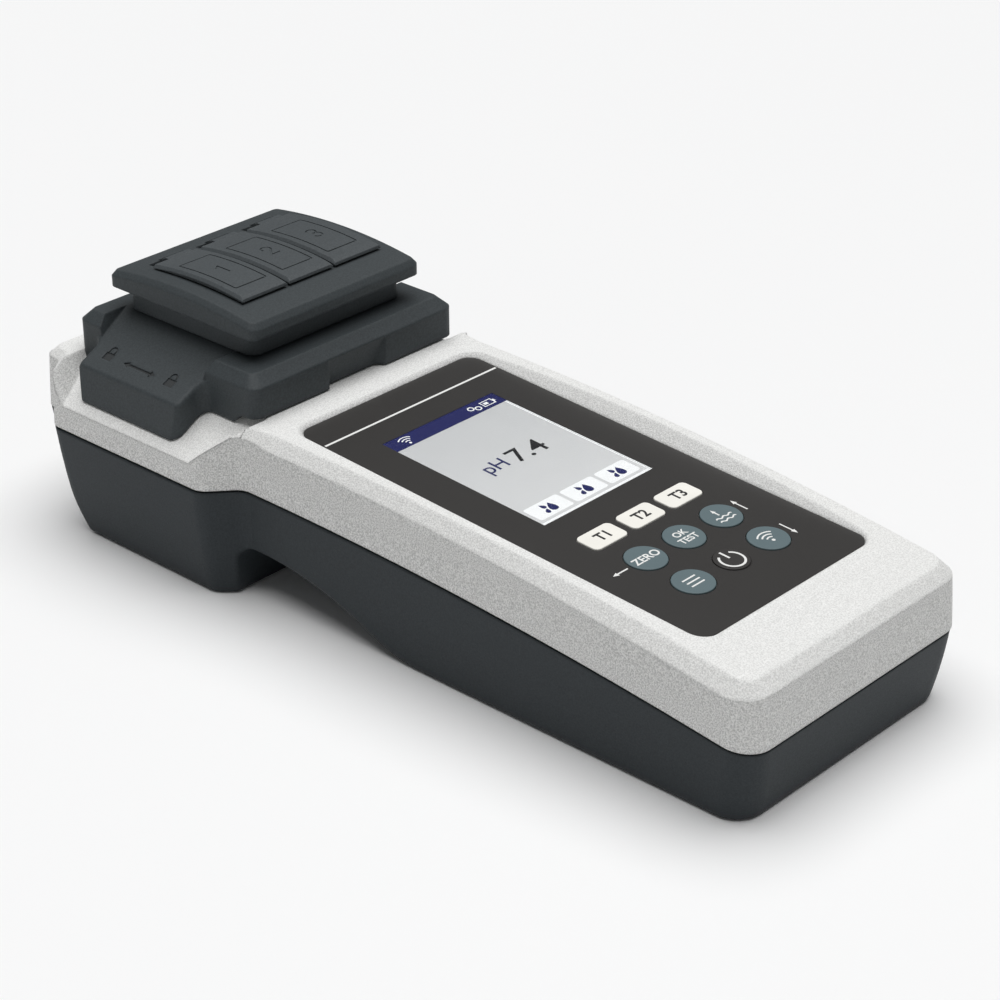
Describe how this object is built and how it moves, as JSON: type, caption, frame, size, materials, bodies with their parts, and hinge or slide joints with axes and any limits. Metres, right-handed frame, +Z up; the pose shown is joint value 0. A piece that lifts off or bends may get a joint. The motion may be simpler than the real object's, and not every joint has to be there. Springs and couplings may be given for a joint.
{
  "type": "handheld pool photometer",
  "caption": "Handheld water photometer with a keypad and display on the handle, a sliding cuvette adapter and a flap lid.",
  "frame": {"origin": "bottom centre of the bounding box, on the flat base", "axes": "+Z up from the base, +Y from the handle's near end towards the cuvette head, +X to the right seen from the handle"},
  "size_m": [0.092, 0.2204, 0.0681],
  "materials": {
    "dark_plastic": "fine grained, charcoal",
    "white_plastic": "textured off-white",
    "seal_rubber": "matt",
    "label_film": "satin printed film",
    "clear_window": "clear acrylic",
    "display": "lit liquid crystal display",
    "foam": "closed cell foam",
    "switch_black": "matt",
    "circuit_board": "green solder resist",
    "chip_black": "matt",
    "steel": "zinc plated",
    "cell_jacket": "plain printed jacket",
    "contact_spring": "nickel plated",
    "optics_black": "deep matt",
    "led_clear": "clear epoxy",
    "metal_can": "gold flash",
    "clear_cell": "clear moulded cell",
    "key_ivory": "satin",
    "key_dark": "satin silicone",
    "key_grey": "satin silicone"
  },
  "bodies": {
    "housing": {"lower_case": "dark_plastic", "upper_case": "white_plastic", "case_gasket": "seal_rubber", "keypad_overlay": "label_film", "display_window": "clear_window", "display_module": "display", "display_foam_frame": "foam", "tact_switches": "switch_black", "main_board": "circuit_board", "board_chips": "chip_black", "board_screws": "steel", "case_screws": "steel", "battery_cover": "dark_plastic", "battery_cover_seal": "seal_rubber", "battery_cover_screws": "steel", "aa_batteries": "cell_jacket", "battery_contacts": "contact_spring", "optics_block": "optics_black", "optics_screws": "steel", "leds": "led_clear", "led_board": "circuit_board", "photodiodes": "metal_can", "sensor_board": "circuit_board"},
    "adapter": {"cuvette_adapter": "dark_plastic", "adapter_seal": "seal_rubber", "cuvette_1": "clear_cell", "cuvette_2": "clear_cell", "cuvette_3": "clear_cell"},
    "lid": {"lid": "dark_plastic", "flap_hinge_rod": "steel"},
    "flap_1": {"flap_1": "dark_plastic"},
    "flap_2": {"flap_2": "dark_plastic"},
    "flap_3": {"flap_3": "dark_plastic"},
    "key_t1": {"key_t1": "key_ivory"},
    "key_t2": {"key_t2": "key_ivory"},
    "key_t3": {"key_t3": "key_ivory"},
    "key_zero": {"key_zero": "key_grey"},
    "key_ok": {"key_ok": "key_grey"},
    "key_up": {"key_up": "key_grey"},
    "key_menu": {"key_menu": "key_grey"},
    "key_power": {"key_power": "key_dark"},
    "key_wireless": {"key_wireless": "key_grey"}
  },
  "joints": [
    {"name": "adapter_lock", "type": "slide", "parent": "housing", "child": "adapter", "axis": [0, -1, 0], "range_m": [0, 0.005]},
    {"name": "lid_lift", "type": "slide", "parent": "adapter", "child": "lid", "axis": [0, 0, 1], "range_m": [0, 0.022]},
    {"name": "flap_1_hinge", "type": "hinge", "parent": "lid", "child": "flap_1", "pos_m": [-0.015, 0.08725, 0.064], "axis": [-1, 0, 0], "range_deg": [0, 100]},
    {"name": "flap_2_hinge", "type": "hinge", "parent": "lid", "child": "flap_2", "pos_m": [0, 0.08725, 0.064], "axis": [-1, 0, 0], "range_deg": [0, 100]},
    {"name": "flap_3_hinge", "type": "hinge", "parent": "lid", "child": "flap_3", "pos_m": [0.015, 0.08725, 0.064], "axis": [-1, 0, 0], "range_deg": [0, 100]},
    {"name": "key_t1_press", "type": "slide", "parent": "housing", "child": "key_t1", "axis": [0, 0.0624, -0.998], "range_m": [0, 0.0005], "stiffness_N_per_m": 2500},
    {"name": "key_t2_press", "type": "slide", "parent": "housing", "child": "key_t2", "axis": [0, 0.0624, -0.998], "range_m": [0, 0.0005], "stiffness_N_per_m": 2500},
    {"name": "key_t3_press", "type": "slide", "parent": "housing", "child": "key_t3", "axis": [0, 0.0624, -0.998], "range_m": [0, 0.0005], "stiffness_N_per_m": 2500},
    {"name": "key_zero_press", "type": "slide", "parent": "housing", "child": "key_zero", "axis": [0, 0.0624, -0.998], "range_m": [0, 0.0005], "stiffness_N_per_m": 2500},
    {"name": "key_ok_press", "type": "slide", "parent": "housing", "child": "key_ok", "axis": [0, 0.0624, -0.998], "range_m": [0, 0.0005], "stiffness_N_per_m": 2500},
    {"name": "key_up_press", "type": "slide", "parent": "housing", "child": "key_up", "axis": [0, 0.0624, -0.998], "range_m": [0, 0.0005], "stiffness_N_per_m": 2500},
    {"name": "key_menu_press", "type": "slide", "parent": "housing", "child": "key_menu", "axis": [0, 0.0624, -0.998], "range_m": [0, 0.0005], "stiffness_N_per_m": 2500},
    {"name": "key_power_press", "type": "slide", "parent": "housing", "child": "key_power", "axis": [0, 0.0624, -0.998], "range_m": [0, 0.0005], "stiffness_N_per_m": 2500},
    {"name": "key_wireless_press", "type": "slide", "parent": "housing", "child": "key_wireless", "axis": [0, 0.0624, -0.998], "range_m": [0, 0.0005], "stiffness_N_per_m": 2500}
  ]
}
